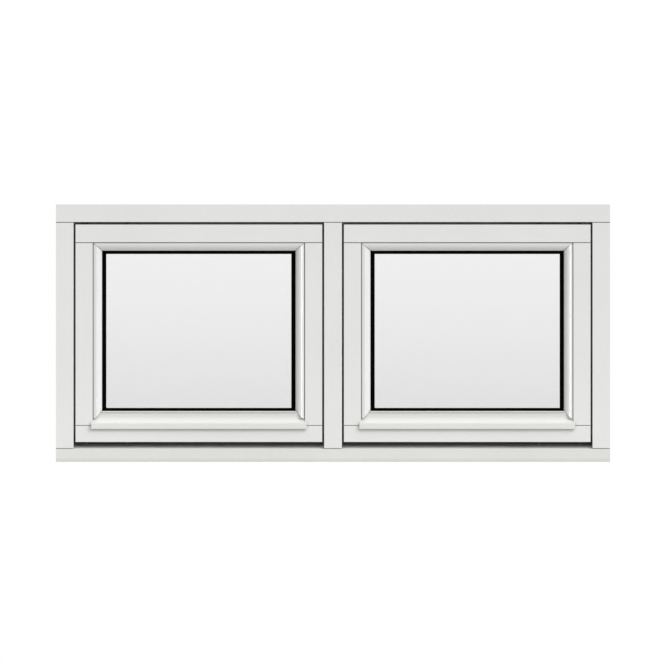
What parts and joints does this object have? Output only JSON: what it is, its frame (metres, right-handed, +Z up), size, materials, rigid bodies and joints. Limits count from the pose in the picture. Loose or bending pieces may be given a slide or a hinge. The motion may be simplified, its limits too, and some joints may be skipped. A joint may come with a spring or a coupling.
{
  "type": "double casement window",
  "caption": "White painted timber double casement window: flush sashes either side of a mullion, moulded glazing beads, sealed double glazing, weathered sill.",
  "frame": {"origin": "middle of the window's footprint at the underside of the sill", "axes": "+X along the width to the right as seen from outside, -Y towards the outside, +Z up"},
  "size_m": [1.4, 0.1215, 0.65],
  "materials": {
    "frame_paint": "satin white paint on timber",
    "sash_paint": "satin white paint on timber",
    "bead_paint": "satin white paint on timber",
    "weather_seal": "black rubber",
    "glazing_gasket": "black rubber",
    "glazing_tape": "black foam tape",
    "glass": "clear float glass",
    "spacer": "black spacer bar and edge seal",
    "stay_metal": "black coated steel",
    "handle_metal": "satin aluminium"
  },
  "bodies": {
    "root": {"head": "frame_paint", "sill": "frame_paint", "left_jamb": "frame_paint", "right_jamb": "frame_paint", "mullion": "frame_paint", "left_weather_seal": "weather_seal", "left_sash_top_rail": "sash_paint", "left_sash_bottom_rail": "sash_paint", "left_sash_hinge_stile": "sash_paint", "left_sash_lock_stile": "sash_paint", "left_top_bead": "bead_paint", "left_bottom_bead": "bead_paint", "left_hinge_side_bead": "bead_paint", "left_lock_side_bead": "bead_paint", "left_glazing_gasket": "glazing_gasket", "left_outer_pane": "glass", "left_spacer_bar": "spacer", "left_inner_pane": "glass", "left_glazing_tape": "glazing_tape", "left_top_stay": "stay_metal", "left_bottom_stay": "stay_metal", "left_handle_base": "handle_metal", "left_handle_lever": "handle_metal", "right_weather_seal": "weather_seal", "right_sash_top_rail": "sash_paint", "right_sash_bottom_rail": "sash_paint", "right_sash_hinge_stile": "sash_paint", "right_sash_lock_stile": "sash_paint", "right_top_bead": "bead_paint", "right_bottom_bead": "bead_paint", "right_hinge_side_bead": "bead_paint", "right_lock_side_bead": "bead_paint", "right_glazing_gasket": "glazing_gasket", "right_outer_pane": "glass", "right_spacer_bar": "spacer", "right_inner_pane": "glass", "right_glazing_tape": "glazing_tape", "right_top_stay": "stay_metal", "right_bottom_stay": "stay_metal", "right_handle_base": "handle_metal", "right_handle_lever": "handle_metal"}
  },
  "joints": []
}
